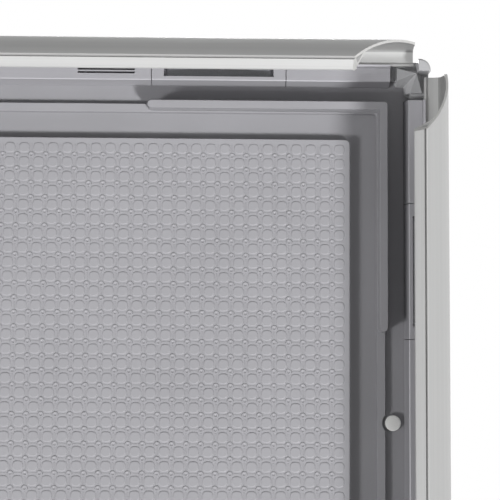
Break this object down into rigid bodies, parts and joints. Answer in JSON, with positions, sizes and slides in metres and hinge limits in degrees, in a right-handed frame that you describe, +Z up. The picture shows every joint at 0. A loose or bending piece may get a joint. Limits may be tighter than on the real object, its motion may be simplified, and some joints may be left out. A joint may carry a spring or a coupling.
{
  "type": "poster snap frame",
  "caption": "Front-opening wall frame for a poster: a moulded back tray in aluminium base rails, with a hinged snap rail along every side, shown open and empty.",
  "frame": {"origin": "centre of the frame's back, in the plane of the wall", "axes": "+X to the right as seen from the front, +Z up, +Y into the wall, so the front faces -Y"},
  "size_m": [0.4818, 0.0436, 0.6558],
  "materials": {
    "aluminium": "satin anodised",
    "web_aluminium": "mill finish",
    "tray_plastic": "moulded grey",
    "connector_plastic": "moulded grey",
    "spring_steel": "bright",
    "nylon": "natural white"
  },
  "bodies": {
    "frame": {"back_tray": "tray_plastic", "base_rail_top": "aluminium", "base_rail_right": "aluminium", "base_rail_bottom": "aluminium", "base_rail_left": "aluminium", "corner_connector_top_right": "connector_plastic", "corner_connector_bottom_right": "connector_plastic", "corner_connector_bottom_left": "connector_plastic", "corner_connector_top_left": "connector_plastic", "spring_cassette_top_left": "web_aluminium", "spring_cassette_top_right": "web_aluminium", "spring_cassette_right_top": "web_aluminium", "spring_cassette_right_bottom": "web_aluminium", "spring_cassette_bottom_right": "web_aluminium", "spring_cassette_bottom_left": "web_aluminium", "spring_cassette_left_bottom": "web_aluminium", "spring_cassette_left_top": "web_aluminium", "leaf_spring_top_left": "spring_steel", "leaf_spring_top_right": "spring_steel", "leaf_spring_right_top": "spring_steel", "leaf_spring_right_bottom": "spring_steel", "leaf_spring_bottom_right": "spring_steel", "leaf_spring_bottom_left": "spring_steel", "leaf_spring_left_bottom": "spring_steel", "leaf_spring_left_top": "spring_steel", "screw_plug_bottom_left": "nylon", "screw_plug_top_left": "nylon", "screw_plug_bottom_right": "nylon", "screw_plug_top_right": "nylon"},
    "snap_rail_top": {"snap_rail_top": "aluminium"},
    "snap_rail_right": {"snap_rail_right": "aluminium"},
    "snap_rail_bottom": {"snap_rail_bottom": "aluminium"},
    "snap_rail_left": {"snap_rail_left": "aluminium"}
  },
  "joints": [
    {"name": "snap_rail_top_hinge", "type": "hinge", "parent": "frame", "child": "snap_rail_top", "pos_m": [0, -0.0086, 0.31935], "axis": [1, 0, 0], "range_deg": [0, 75]},
    {"name": "snap_rail_right_hinge", "type": "hinge", "parent": "frame", "child": "snap_rail_right", "pos_m": [0.23235, -0.0086, 0], "axis": [0, 0, -1], "range_deg": [0, 75]},
    {"name": "snap_rail_bottom_hinge", "type": "hinge", "parent": "frame", "child": "snap_rail_bottom", "pos_m": [0, -0.0086, -0.31935], "axis": [-1, 0, 0], "range_deg": [0, 75]},
    {"name": "snap_rail_left_hinge", "type": "hinge", "parent": "frame", "child": "snap_rail_left", "pos_m": [-0.23235, -0.0086, 0], "axis": [0, 0, 1], "range_deg": [0, 75]}
  ]
}
